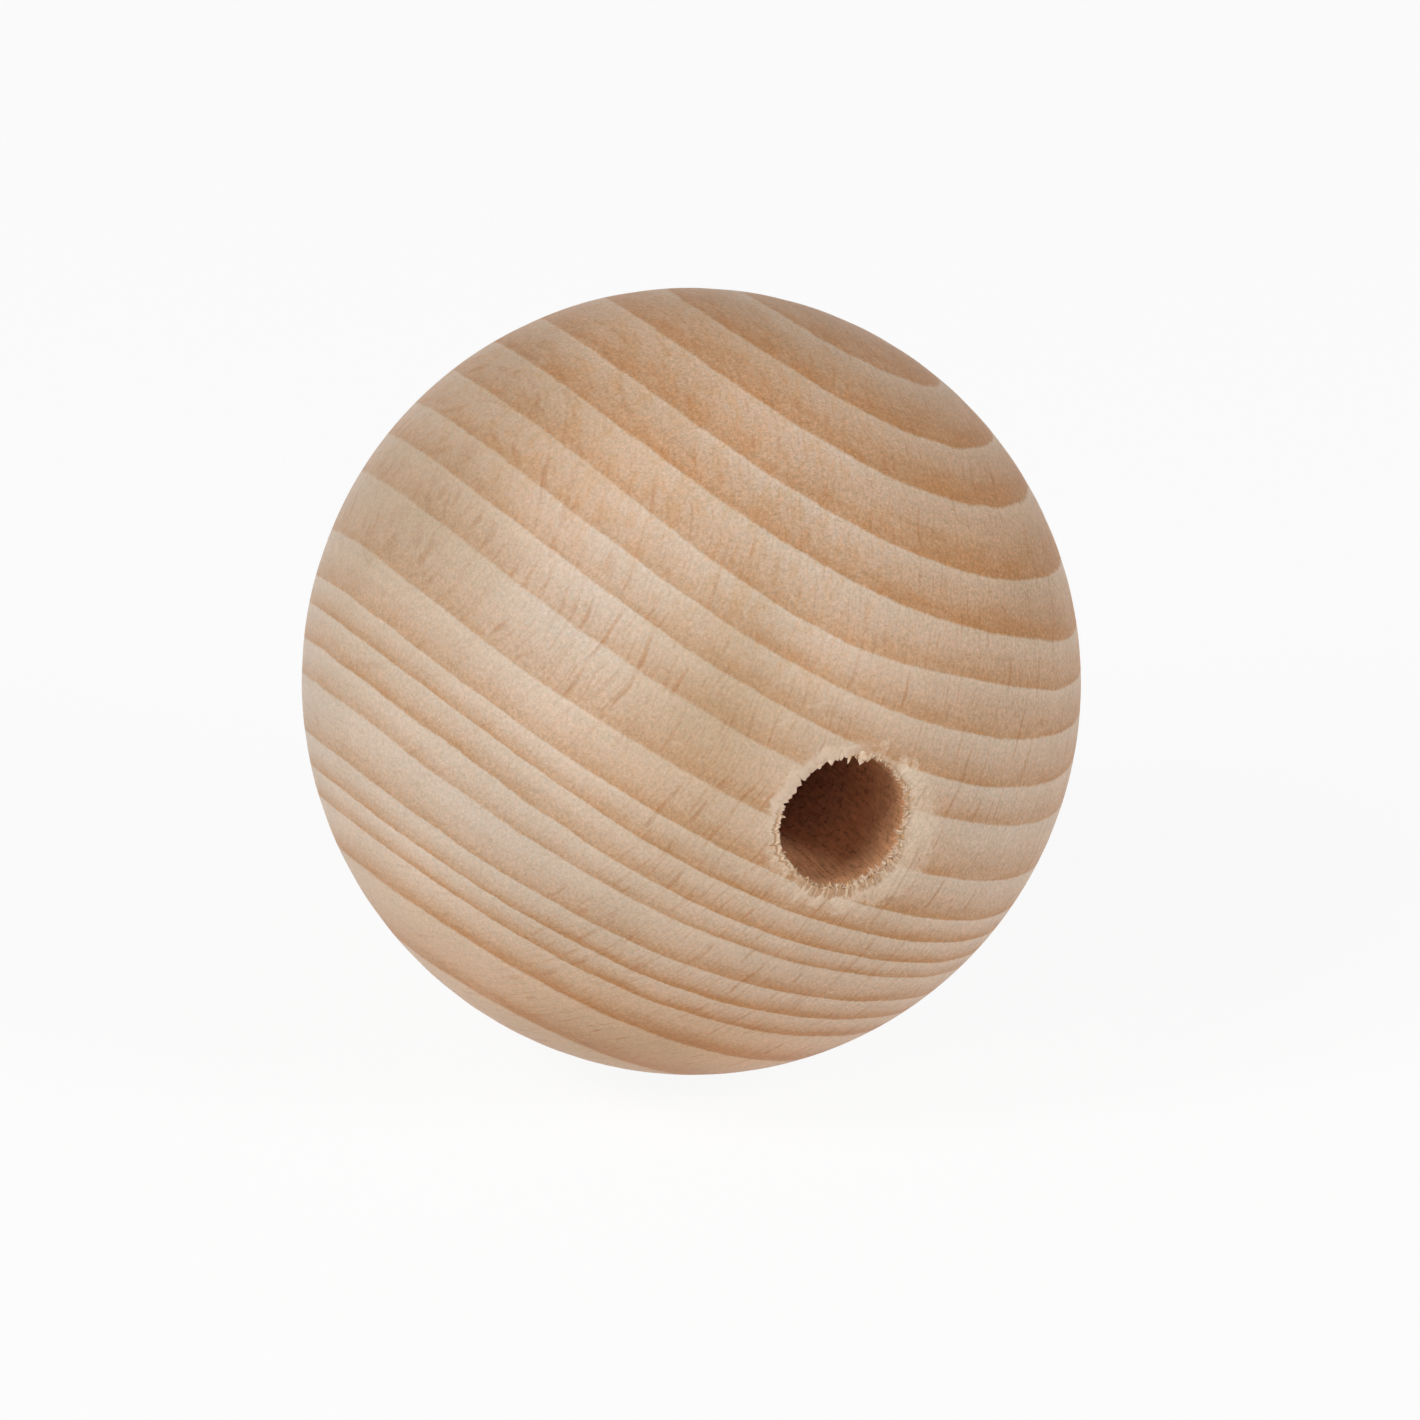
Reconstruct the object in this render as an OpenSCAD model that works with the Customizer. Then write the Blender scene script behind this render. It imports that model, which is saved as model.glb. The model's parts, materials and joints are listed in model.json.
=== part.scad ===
// Turned beech ball with one blind bore, torn at its mouth by the drill.
// The origin is the ball's centre. The bore runs along Y and opens towards -Y.
// Each shape is drawn with the mouth on top, and the whole ball is laid down at the end.

/* [Ball] */
// Diameter of the ball
ball_d = 60; // [48:1:120]

/* [Bore] */
// Diameter of the bore, for a dowel of the same size
bore_d = 10; // [5:0.5:16]
// Depth of the round wall, from where the ball's surface was before drilling
bore_depth = 30; // [15:0.5:38]
// Angle across the drill's point, which leaves the cone at the bore's end
point_angle = 118; // [90:1:150]

/* [Torn mouth] */
// Width of one torn notch and the tooth beside it, along the rim
notch_pitch = 0.75; // [0.5:0.05:2]
// How far the teeth stand back from the bore's wall at least, which crushes the rim's edge
tooth_least = 0.1; // [0.08:0.01:0.15]
// How far the teeth stand back at most
tooth_most = 0.18; // [0.16:0.01:0.25]
// How far the notches stand back at least
notch_least = 0.26; // [0.2:0.01:0.35]
// How far the notches stand back at most, on the rough side
notch_most = 0.7; // [0.5:0.02:1.5]
// How far down the wall the tear goes
torn_depth = 1.1; // [0.5:0.1:2.5]
// Direction of the rough side round the bore, from +X towards +Z
rough_side = -60; // [-180:5:180]
// Which of the many like tears this is
tear_seed = 11; // [1:1:99]

/* [Hidden] */
$fn = 96;
wood = [0.84, 0.71, 0.57];
ball_r = ball_d / 2;
bore_r = bore_d / 2;
// Height of the rim, the circle where the bore's wall meets the ball's surface
rim_z = sqrt(ball_r * ball_r - bore_r * bore_r);
// Cutting shapes start this far outside the ball.
past = 0.5;
// The tear's lower end lies this far inside the bore's wall, so it crosses the wall cleanly.
inside = 0.3;
notches = round(PI * bore_d / notch_pitch);
luck = rands(0, 1, 2 * notches, tear_seed);

// Share of the tear at an angle round the bore: 1 on the rough side and 0.3 opposite.
function roughness(angle) = 0.65 + 0.35 * cos(angle - rough_side);

// Angle round the bore of rim point k. Even points are teeth and odd ones are notches.
function rim_angle(k) = 180 * k / notches;

// How far rim point k stands back from the bore's wall, at the rim.
function setback(k) =
    k % 2 == 0
        ? tooth_least + (tooth_most - tooth_least) * luck[k]
        : notch_least + (notch_most - notch_least) * luck[k] * roughness(rim_angle(k));

// A closed ring of the tear's points at height z, where it has the share s of its setback.
// s is 0 at the tear's lower end and 1 at the rim, and it goes on growing past the rim.
function tear_ring(z, s) = [
    for (k = [0 : 2 * notches - 1])
        let (r = bore_r - inside + s * (inside + setback(k)))
            [r * cos(rim_angle(k)), r * sin(rim_angle(k)), z]
];

// The drilled hole: a round wall, and the cone that a drill's point leaves under it.
module bore() {
    wall_end = ball_r - bore_depth;
    point_h = bore_r / tan(point_angle / 2);
    rotate_extrude()
        polygon([
            [0, wall_end - point_h],
            [bore_r, wall_end],
            [bore_r, ball_r + past],
            [0, ball_r + past]
        ]);
}

// The wood that broke away round the mouth: a funnel with a notched edge.
module torn_edge() {
    count = 2 * notches;
    top = ball_r + past;
    top_share = 1 + (top - rim_z) / torn_depth;
    points = concat(tear_ring(rim_z - torn_depth, 0), tear_ring(top, top_share));
    sides = [
        for (k = [0 : count - 1])
            let (n = (k + 1) % count)
                each [[k, count + k, n], [n, count + k, count + n]]
    ];
    ends = [
        [for (k = [0 : count - 1]) k],
        [for (k = [count - 1 : -1 : 0]) count + k]
    ];
    polyhedron(points, concat(sides, ends));
}

module ball() {
    color(wood)
        rotate([90, 0, 0])
            difference() {
                sphere(d = ball_d);
                bore();
                torn_edge();
            }
}

ball();
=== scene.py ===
# %% [markdown]
# # A raw beech ball with one drilled bore
#
# The real object is one piece of beech, turned to a ball and sanded, with a 10 mm hole drilled
# into its end grain. Nearly all of its look is wood: growth rings that run right through the
# ball, rays that cross them, and the ragged edge that the drill left.
#
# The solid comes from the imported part, so this script only dresses it. It makes the ball's skin
# as a fine mesh with a torn rim, adds the loose fibres on that rim, and grows the wood as one
# solid pattern in space, so that every side shows the cut that a real log would show there.

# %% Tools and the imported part
import math
import json

import bpy
import numpy as np
from mathutils import Matrix, Vector


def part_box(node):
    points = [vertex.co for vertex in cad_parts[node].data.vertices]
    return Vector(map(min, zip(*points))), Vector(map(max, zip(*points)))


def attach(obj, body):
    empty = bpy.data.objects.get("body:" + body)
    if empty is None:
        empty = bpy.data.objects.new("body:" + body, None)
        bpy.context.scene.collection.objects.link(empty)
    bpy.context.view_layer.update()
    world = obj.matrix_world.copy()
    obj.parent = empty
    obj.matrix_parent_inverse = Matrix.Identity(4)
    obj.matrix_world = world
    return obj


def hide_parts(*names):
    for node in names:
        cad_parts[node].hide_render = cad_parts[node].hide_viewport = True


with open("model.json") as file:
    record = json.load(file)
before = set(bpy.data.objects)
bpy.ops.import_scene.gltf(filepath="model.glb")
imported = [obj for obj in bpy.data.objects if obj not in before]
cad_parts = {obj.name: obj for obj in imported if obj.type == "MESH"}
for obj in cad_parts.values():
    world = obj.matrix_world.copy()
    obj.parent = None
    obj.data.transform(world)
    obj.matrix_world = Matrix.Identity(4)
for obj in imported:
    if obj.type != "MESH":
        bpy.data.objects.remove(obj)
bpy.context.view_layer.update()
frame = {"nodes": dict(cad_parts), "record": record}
MM = 0.001
print("packed nodes:", sorted(frame["nodes"]))

# %% [markdown]
# ## Sizes, read from the part
#
# The ball's radius and the bore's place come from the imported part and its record, so the skin
# fits whatever was packed. The wall's length and the drill's point aren't in the record, so
# they are repeated here. Lengths in this script are millimetres, and a mesh is scaled to metres
# when it is made. Its points are given along the bore's own axes: across, up, and out of it.

# %% Ball and bore
low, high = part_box("ball")
BALL_R = (high.x - low.x) / 2 / MM
bore = frame["record"]["mounts"][0]
BORE_R = bore["dims"]["r_mm"]
OUT = np.array(bore["axis"], float)
ACROSS = np.array([1.0, 0.0, 0.0])
UP = np.cross(OUT, ACROSS)
RIM_H = math.sqrt(BALL_R**2 - BORE_R**2)
WALL_LENGTH = 29.6
BORE_END_H = RIM_H - WALL_LENGTH
POINT_H = 3.0
print(f"ball radius {BALL_R:.2f} mm, bore radius {BORE_R:.2f} mm, rim {RIM_H:.2f} mm from the centre")


def to_row(across, up, out):
    """Millimetres along the bore's own axes, as a list of points in the part's frame, in metres."""
    ways = ((across, ACROSS), (up, UP), (out, OUT))
    return sum(np.multiply.outer(amount, way) for amount, way in ways) * MM


# %% [markdown]
# ## The camera
#
# The photograph was taken with a long lens, because the outline and the rings fit a view with
# hardly any perspective. The mouth sits to the right and below the middle, which sets the
# direction. The ball isn't quite in the middle of the frame, and the lens shift sets that.

# %% Camera
PHOTO_SIDE = 1420
BALL_PIXEL_R = 393.7
BALL_PIXEL_CENTRE = (691.3, 681.35)
CAMERA_AZIMUTH = math.radians(-22.84)
CAMERA_ELEVATION = math.radians(22.64)
CAMERA_DISTANCE = 30 * BALL_R
SENSOR = 36.0
# In metres, because the floor is eight of them wide.
FARTHEST_SEEN = 20

back = Vector((
    math.sin(CAMERA_AZIMUTH) * math.cos(CAMERA_ELEVATION),
    -math.cos(CAMERA_AZIMUTH) * math.cos(CAMERA_ELEVATION),
    math.sin(CAMERA_ELEVATION),
))
right = Vector((0, 0, 1)).cross(back).normalized()
above = back.cross(right)
camera_data = bpy.data.cameras.new("photo_camera")
camera = bpy.data.objects.new("photo_camera", camera_data)
bpy.context.scene.collection.objects.link(camera)
camera.matrix_world = Matrix((
    (right.x, above.x, back.x, back.x * CAMERA_DISTANCE * MM),
    (right.y, above.y, back.y, back.y * CAMERA_DISTANCE * MM),
    (right.z, above.z, back.z, back.z * CAMERA_DISTANCE * MM),
    (0, 0, 0, 1),
))
edge_slope = BALL_R / math.sqrt(CAMERA_DISTANCE**2 - BALL_R**2)
camera_data.sensor_width = SENSOR
camera_data.lens = SENSOR / 2 * (BALL_PIXEL_R / (PHOTO_SIDE / 2)) / edge_slope
camera_data.shift_x = (PHOTO_SIDE / 2 - BALL_PIXEL_CENTRE[0]) / PHOTO_SIDE
camera_data.shift_y = (BALL_PIXEL_CENTRE[1] - PHOTO_SIDE / 2) / PHOTO_SIDE
camera_data.clip_end = FARTHEST_SEEN
bpy.context.scene.camera = camera
print(f"lens {camera_data.lens:.0f} mm at {CAMERA_DISTANCE / 1000:.2f} m")

# %% [markdown]
# ## A skin as rows and columns
#
# Ball, rim and bore are one closed skin. It is a profile carried round the bore's axis: each
# row is a ring of points, each column runs from the back of the ball over its surface to the
# rim, down the wall and to the drill's point. A ring's radius may change with the angle, and
# that is what makes the rim ragged. The two ends close on single points.

# %% Grid to mesh
COLUMNS = 640
angle = np.linspace(0, 2 * np.pi, COLUMNS, endpoint=False)


def closed_skin(name, rings, start, end):
    """A mesh from rings of points, shape (rows, columns, 3), closed by a point at each end."""
    rows, columns, _ = rings.shape
    points = np.concatenate([rings.reshape(-1, 3), start[None], end[None]])
    first = np.arange(columns)
    following = (first + 1) % columns
    row = np.arange(rows - 1)[:, None] * columns
    corners = [row + first, row + following, row + columns + following, row + columns + first]
    quads = np.stack(corners, -1)
    start_fan = np.stack([np.full(columns, rows * columns), following, first], -1)
    last = (rows - 1) * columns
    end_fan = np.stack([np.full(columns, rows * columns + 1), last + first, last + following], -1)
    faces = quads.reshape(-1, 4).tolist() + start_fan.tolist() + end_fan.tolist()
    mesh = bpy.data.meshes.new(name)
    mesh.from_pydata(points, [], faces)
    mesh.validate()
    piece = bpy.data.objects.new(name, mesh)
    bpy.context.scene.collection.objects.link(piece)
    mesh.polygons.foreach_set("use_smooth", np.ones(len(mesh.polygons), bool))
    return piece


# %% [markdown]
# ## The torn rim
#
# A drill that enters end grain breaks fibres out in small bites. The rim is cut into notches of
# uneven width, each with its own depth. Bites are clean and deeper on the upper left. The lower
# right is the rough side: its lip is crushed wider, so the mouth opens there like a shallow
# funnel, and loose fibres fill its smaller bites. The rim isn't quite round either. Slow waves
# bend it, and in some places it is pulled out or in. A texture could darken such a rim but not
# cut it, so each of these moves the rim's own points.

# %% Notches round the rim
NOTCH_COUNT = 74
LIP_BACK = 0.02
CRUSHED_BACK = 0.14
NOTCH_LEAST = 0.02
NOTCH_MOST = 0.50
ROUGH_SIDE = math.radians(-35)
TORN_DEPTH = 1.3
# The share of its bite that a notch takes on the clean side, and on the rough side.
BITE_SHARES = (0.85, 0.40)
# Each: how many times it turns round the bore, how far it moves the rim, and where it starts.
OUT_OF_ROUND = ((3, 0.06, 1.1), (5, 0.05, -0.6), (8, 0.04, 2.0), (13, 0.04, 0.4))
# Each: a side of the bore in degrees, how far the rim stands out there, and the reach in radians.
PULLED_OUT = (
    (42, 0.36, 0.60), (95, -0.16, 0.25), (137, -0.24, 0.22), (-175, 0.14, 0.25),
    (-143, -0.24, 0.25), (-90, 0.08, 0.35), (-37, 0.18, 0.20), (-15, -0.20, 0.16),
)
rim_luck = np.random.default_rng(7)

# Each notch gets its width, bite and lean by chance. A power above 1 makes most of them small.
notch_edges = np.cumsum(0.35 + rim_luck.random(NOTCH_COUNT) ** 1.5)
notch_edges = np.concatenate([[0], notch_edges / notch_edges[-1]]) * 2 * np.pi
notch_bite = rim_luck.random(NOTCH_COUNT) ** 1.3
notch_lean = 0.25 + 0.5 * rim_luck.random(NOTCH_COUNT)


def rough_share(theta):
    """1 on the rough side of the mouth, falling along a cosine to 0 on the other side."""
    return 0.5 + 0.5 * np.cos(theta - ROUGH_SIDE)


def side_share(theta, side, spread):
    """1 towards one side of the bore, falling to 0 away from it like a bell, spread radians wide."""
    return np.exp(-2 * (1 - np.cos(theta - side)) / spread**2)


def rim_setback(theta):
    """How far the rim stands back from the bore's wall: the crushed lip, a leaning triangle for each
    notch, slow waves that put the rim a little out of round, and places pulled out or in."""
    wrapped = np.mod(theta, 2 * np.pi)
    which = np.clip(np.searchsorted(notch_edges, wrapped, side="right") - 1, 0, NOTCH_COUNT - 1)
    place = (wrapped - notch_edges[which]) / (notch_edges[which + 1] - notch_edges[which])
    lean = notch_lean[which]
    triangle = np.where(place < lean, place / lean, (1 - place) / (1 - lean))
    share = rough_share(wrapped)
    taken = BITE_SHARES[0] + (BITE_SHARES[1] - BITE_SHARES[0]) * share
    bite = NOTCH_LEAST + (NOTCH_MOST - NOTCH_LEAST) * notch_bite[which] * taken
    uneven = 0.0
    for turns, amount, start in OUT_OF_ROUND:
        uneven = uneven + amount * (1 + np.cos(turns * wrapped + start)) / 2
    pulled = 0.0
    for side, amount, reach in PULLED_OUT:
        pulled = pulled + amount * side_share(wrapped, math.radians(side), reach)
    return LIP_BACK + CRUSHED_BACK * share + bite * triangle**0.8 + uneven + pulled


rim_r = BORE_R + rim_setback(angle)
print(f"rim radius {rim_r.min():.2f} to {rim_r.max():.2f} mm")

# %% [markdown]
# ## The ball's surface
#
# Outside the rim the skin is a sphere. Its rows lie close together at the rim and far apart at
# the back. Close to the rim the wood is crumpled, by a sum of waves that fades within a
# millimetre or so, and the rough side also has fine ridges that run straight out from the bore.
# On the left side the drill pushed the lip up into a low curl with a groove behind it. At the
# upper left it rolled the edge over, so the surface bends down into the hole there, and at the
# top a thin crease runs along the bent edge. Drying wood shrinks more along its rings than
# across them, so the outline is a hundredth narrower one way, and the whole skin takes that
# slight oval. These forms are shallow, so each is a small change of the radius, and they add up.

# %% Waves round the bore
WAVE_COUNT = 24


def waves(theta, distance, slowest, fastest, slant, seed):
    """A sum of sine waves, about 1 high: each turns slowest to fastest times round the bore
    and leans by up to slant turns of phase for each millimetre of distance."""
    luck = np.random.default_rng(seed).random((3, WAVE_COUNT, 1, 1))
    turns = np.round(slowest + (fastest - slowest) * luck[0])
    lean = slant * 2 * np.pi * (2 * luck[2] - 1)
    return np.sin(turns * theta + 2 * np.pi * luck[1] + lean * distance).sum(0) / math.sqrt(WAVE_COUNT)


# %% Rows over the ball
OUTER_ROWS = 96
CRUMPLE = 0.010
CRUMPLE_REACH = 1.1
RIDGES = 0.015
RIDGE_REACH = 0.8
CURL = 0.10
CURL_AT = 0.10
GROOVE_AT = 0.36
GROOVE_SHARE = 0.8
CURL_REACH = 0.10
CURL_SIDE = math.radians(-168)
CURL_SPREAD = 0.6
ROLL = 0.30
ROLL_REACH = 0.55
ROLL_SIDE = math.radians(122)
ROLL_SPREAD = 1.1
CREASE = 0.06
CREASE_AT = 0.85
CREASE_REACH = 0.07
CREASE_SIDE = math.radians(80)
CREASE_SPREAD = 0.5
NARROW_WAY = np.array([0.934, -0.329, 0.142])
NARROWING = 0.0105
# How much closer the rows lie at the rim than at the back, as a power of e.
CROWDING = 4.6

rim_polar = np.arcsin(rim_r / BALL_R)
growth = np.linspace(0, 1, OUTER_ROWS, endpoint=False)
spread = (np.exp(CROWDING * growth) - 1) / (math.exp(CROWDING) - 1)
polar = rim_polar + np.multiply.outer(spread, math.pi - rim_polar)
past_rim = (polar - rim_polar) * BALL_R
crumple = CRUMPLE * waves(angle, past_rim, 8, 60, 0.3, 3) * np.exp(-((past_rim / CRUMPLE_REACH) ** 2))
ridges = RIDGES * waves(angle, past_rim, 55, 95, 0.0, 31) * np.exp(-((past_rim / RIDGE_REACH) ** 2))
crumple = crumple + ridges * rough_share(angle)


def hump(distance, middle, reach):
    """A bell of height 1 round a middle distance."""
    return np.exp(-(((distance - middle) / reach) ** 2))


curled = hump(past_rim, CURL_AT, CURL_REACH) - GROOVE_SHARE * hump(past_rim, GROOVE_AT, CURL_REACH)
curl = CURL * side_share(angle, CURL_SIDE, CURL_SPREAD) * curled
crease = CREASE * side_share(angle, CREASE_SIDE, CREASE_SPREAD) * hump(past_rim, CREASE_AT, CREASE_REACH)
rim_drop = ROLL * side_share(angle, ROLL_SIDE, ROLL_SPREAD)
rolled = rim_drop * np.exp(-((past_rim / ROLL_REACH) ** 1.5))
shell_r = BALL_R + crumple + curl - crease - rolled
outer = to_row(
    shell_r * np.sin(polar) * np.cos(angle),
    shell_r * np.sin(polar) * np.sin(angle),
    shell_r * np.cos(polar),
)[::-1]

# %% [markdown]
# ## The tear, the wall and the drill's point
#
# Below the rim the notches fade out down the wall. The bore runs with the fibres, so the drill
# left strands and grooves that run down the wall, and the cone at the end is what its point
# leaves. The rows go on from the rim, close together where the notches fade and wider below.

# %% Rows down the bore
TEAR_ROWS = 16
WALL_ROWS = 26
CONE_ROWS = 4
ROUGHNESS = 0.045
ROUGH_WITHIN = 0.5

tear = np.linspace(0, 1, TEAR_ROWS + 1)[1:, None]
rim_out = np.sqrt(BALL_R**2 - rim_r**2) - rim_drop
tear_r = BORE_R + (rim_r - BORE_R) * (1 - tear) ** 1.3
tear_out = rim_out - TORN_DEPTH * tear
wall = np.linspace(0, 1, WALL_ROWS + 1)[1:, None] ** 1.4
wall_top = rim_out - TORN_DEPTH
wall_out = wall_top + (BORE_END_H - wall_top) * wall
bore_out = np.concatenate([tear_out, wall_out])
bore_r = np.concatenate([tear_r, np.full((WALL_ROWS, COLUMNS), BORE_R)])
below_rim = rim_out - bore_out
grown_in = 1 - np.exp(-below_rim / ROUGH_WITHIN)
strands = 0.6 * waves(angle, below_rim, 30, 110, 0.12, 21)
hollows = 0.5 * waves(angle, below_rim, 3, 20, 0.25, 22)
bore_r = bore_r + ROUGHNESS * grown_in * (strands + hollows)
cone = np.linspace(0, 1, CONE_ROWS + 1)[1:-1, None]
cone_r = BORE_R * (1 - cone) + 0 * angle
cone_out = BORE_END_H - POINT_H * cone + 0 * angle
inner_r = np.concatenate([bore_r, cone_r])
inner_out = np.concatenate([bore_out, cone_out])
inner = to_row(inner_r * np.cos(angle), inner_r * np.sin(angle), inner_out)
print(f"{len(outer)} rows outside and {len(inner)} rows inside the bore")

# %% [markdown]
# ## The skin as one piece
#
# The rows join into one mesh, which takes the place of the solid. A number on each point says
# how many millimetres it lies from the rim, less than 0 in the bore, and the finish reads it.

# %% Ball piece
rings = np.concatenate([outer, inner])
back_point = to_row(0.0, 0.0, -BALL_R)
cone_point = to_row(0.0, 0.0, BORE_END_H - POINT_H)


def dried(points):
    """The points, drawn in along NARROW_WAY in proportion to their distance that way."""
    way = NARROW_WAY / np.linalg.norm(NARROW_WAY)
    return points - NARROWING * (points @ way)[..., None] * way


ball = closed_skin("beech_ball", dried(rings), dried(back_point), dried(cone_point))
from_rim = np.concatenate([past_rim[::-1], -(rim_out - inner_out)])
mark = ball.data.attributes.new("from_rim", "FLOAT", "POINT")
mark.data.foreach_set("value", np.concatenate([from_rim.ravel(), [3 * BALL_R, -BALL_R]]).astype(np.float32))
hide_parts("ball")
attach(ball, "root")
print(f"ball skin: {len(ball.data.polygons)} faces")

# %% [markdown]
# ## Loose fibres on the rim
#
# Splinters too fine for the skin stand round the rim. Each is a thin blade with a diamond section
# that tapers and bends. There are four kinds: a fringe that stands up from the crushed lip and is
# shorter at the bottom, short thick crumbs on its edge, flat ones that lie on the ball and point
# over the edge, and a few wide teeth that hang into the hole at the top. Hair curves would look
# as fine, but a printed or exported part needs closed meshes. All blades of a kind are worked out
# together as one array.

# %% Blades
BLADE_STEPS = 5
# Half the thickness that a tip keeps, so that no blade ends in a point.
BLUNT_TIP = 0.003


def blades(theta, root_back, root_up, inward, sideways, outward, bend, length, width, flatness):
    """Points of many blades at once, shape (blades, steps, 4, 3), in metres.

    A blade's middle line is root + length * (t * way + t^2 * bend towards the bore's inside).
    Its width is the full width times (1 - t)^0.6, and its thickness is that times flatness.
    A root lies root_back outside the bore's wall and root_up over the ball's surface there."""
    t = np.linspace(0, 1, BLADE_STEPS)[None, :, None]
    radial = np.stack([np.cos(theta), np.sin(theta), 0 * theta], -1)
    along = np.stack([-np.sin(theta), np.cos(theta), 0 * theta], -1)
    axis = np.array([0.0, 0.0, 1.0])
    way = -inward[:, None] * radial + sideways[:, None] * along + outward[:, None] * axis
    way = way / np.linalg.norm(way, axis=-1, keepdims=True)
    root_r = BORE_R + root_back
    root = root_r[:, None] * radial + (np.sqrt(BALL_R**2 - root_r**2) + root_up)[:, None] * axis
    fall = -0.6 * radial - 0.8 * axis
    bent = t**2 * bend[:, None, None] * fall[:, None]
    middle = root[:, None] + length[:, None, None] * (t * way[:, None] + bent)
    side = np.cross(way, np.cross(along, way))
    side = side / np.linalg.norm(side, axis=-1, keepdims=True)
    thick = np.cross(side, way)
    half = 0.5 * width[:, None, None] * (1 - t) ** 0.6 + BLUNT_TIP
    corners = [side[:, None] * half, thick[:, None] * half * flatness, -side[:, None] * half]
    corners.append(-corners[1])
    points = middle[:, :, None] + np.stack(corners, 2)
    return to_row(points[..., 0], points[..., 1], points[..., 2])


def blade_mesh(name, points):
    """One mesh from an array of blades, each a closed tube of diamonds."""
    count, steps, sides, _ = points.shape
    ring = np.arange(sides)
    after = (ring + 1) % sides
    step = np.arange(steps - 1)[:, None] * sides
    tube = np.stack([step + ring, step + after, step + sides + after, step + sides + ring], -1)
    caps = np.array([ring[::-1], ring + (steps - 1) * sides])
    one = np.concatenate([tube.reshape(-1, 4), caps])
    faces = (np.arange(count)[:, None, None] * steps * sides + one).reshape(-1, 4)
    mesh = bpy.data.meshes.new(name)
    mesh.from_pydata(points.reshape(-1, 3), [], faces.tolist())
    mesh.validate()
    piece = bpy.data.objects.new(name, mesh)
    bpy.context.scene.collection.objects.link(piece)
    return piece


# %% Where the fibres stand
FRINGE = 300
CRUMBS = 44
LYING = 30
fibre_luck = np.random.default_rng(5)


def chosen_angles(count):
    """Angles round the bore, most of them on the rough side and none on the other."""
    theta = fibre_luck.random(count * 8) * 2 * np.pi
    return theta[fibre_luck.random(len(theta)) < rough_share(theta) ** 2.5][:count]


def chance(count, low_end, high_end):
    """Random numbers between two ends."""
    return low_end + (high_end - low_end) * fibre_luck.random(count)


theta = chosen_angles(FRINGE)
size = (0.4 + 0.6 * rough_share(theta)) * (1 - 0.3 * side_share(theta, math.radians(-95), 0.5))
fringe = blades(
    theta,
    root_back=rim_setback(theta) + chance(FRINGE, -0.25, 0.02),
    root_up=chance(FRINGE, -0.40, -0.05) * size,
    inward=chance(FRINGE, 0.1, 1.0),
    sideways=chance(FRINGE, -0.7, 0.7),
    outward=chance(FRINGE, 0.0, 0.8),
    bend=chance(FRINGE, 0.0, 0.5),
    length=chance(FRINGE, 0.20, 0.62) * size,
    width=chance(FRINGE, 0.07, 0.20),
    flatness=0.5,
)
theta = chosen_angles(CRUMBS)
crumbs = blades(
    theta,
    root_back=rim_setback(theta) + chance(CRUMBS, -0.12, 0.10),
    root_up=chance(CRUMBS, -0.25, -0.02),
    inward=chance(CRUMBS, 0.1, 1.0),
    sideways=chance(CRUMBS, -0.8, 0.8),
    outward=chance(CRUMBS, 0.0, 0.45),
    bend=chance(CRUMBS, 0.0, 0.5),
    length=chance(CRUMBS, 0.22, 0.52),
    width=chance(CRUMBS, 0.14, 0.34),
    flatness=0.55,
)
theta = chosen_angles(LYING)
flat_length = chance(LYING, 0.35, 0.9)
lying = blades(
    theta,
    root_back=rim_setback(theta) + flat_length * chance(LYING, 0.6, 1.0),
    root_up=chance(LYING, -0.02, 0.005),
    inward=chance(LYING, 0.9, 1.0),
    sideways=chance(LYING, -0.4, 0.4),
    outward=chance(LYING, 0.15, 0.21),
    bend=chance(LYING, -0.02, 0.02),
    length=flat_length,
    width=chance(LYING, 0.06, 0.15),
    flatness=0.25,
)
print(f"{FRINGE} fringe fibres, {CRUMBS} crumbs and {LYING} lying ones")

# %% Teeth at the top
TOOTH_ANGLES = np.radians([58, 66, 71, 73, 84, 91, 101, 112, 165])
TOOTH_LENGTHS = np.array([0.30, 0.55, 0.85, 0.70, 0.62, 0.42, 0.25, 0.20, 0.45])
TOOTH_WIDTHS = np.array([0.45, 0.50, 0.90, 0.80, 0.40, 0.60, 0.60, 0.60, 0.30])
TOOTH_ROOT = 0.20
same = np.ones(len(TOOTH_ANGLES))
teeth = blades(
    TOOTH_ANGLES,
    root_back=rim_setback(TOOTH_ANGLES) + TOOTH_ROOT,
    root_up=-0.03 - 0.8 * ROLL * side_share(TOOTH_ANGLES, ROLL_SIDE, ROLL_SPREAD),
    inward=same,
    sideways=0.2 * same,
    outward=0.1 * same,
    bend=0.12 * same,
    length=TOOTH_LENGTHS + TOOTH_ROOT,
    width=TOOTH_WIDTHS,
    flatness=0.25,
)
fibres = blade_mesh("torn_fibres", dried(np.concatenate([fringe, crumbs, lying, teeth])))
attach(fibres, "root")
print(f"{len(same)} teeth, and {len(fibres.data.polygons)} faces in all fibres")

# %% [markdown]
# ## Small helpers for node materials
#
# A procedural material is a chain of small sums. These helpers each add a node, or a few, and
# give back the output, so that a material below reads like a formula.

# %% Node helpers
tree = None


def feed(socket, value):
    """Links a socket to another node's output, or writes a plain value into it."""
    if isinstance(value, bpy.types.NodeSocket):
        tree.links.new(value, socket)
    else:
        socket.default_value = value


def node(kind, **settings):
    """A new node of the material at hand, with its settings."""
    made = tree.nodes.new(kind)
    for name, value in settings.items():
        setattr(made, name, value)
    return made


def calc(operation, *values, clamp=False):
    """One Math node."""
    made = node("ShaderNodeMath", operation=operation, use_clamp=clamp)
    for socket, value in zip(made.inputs, values):
        feed(socket, value)
    return made.outputs[0]


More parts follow.
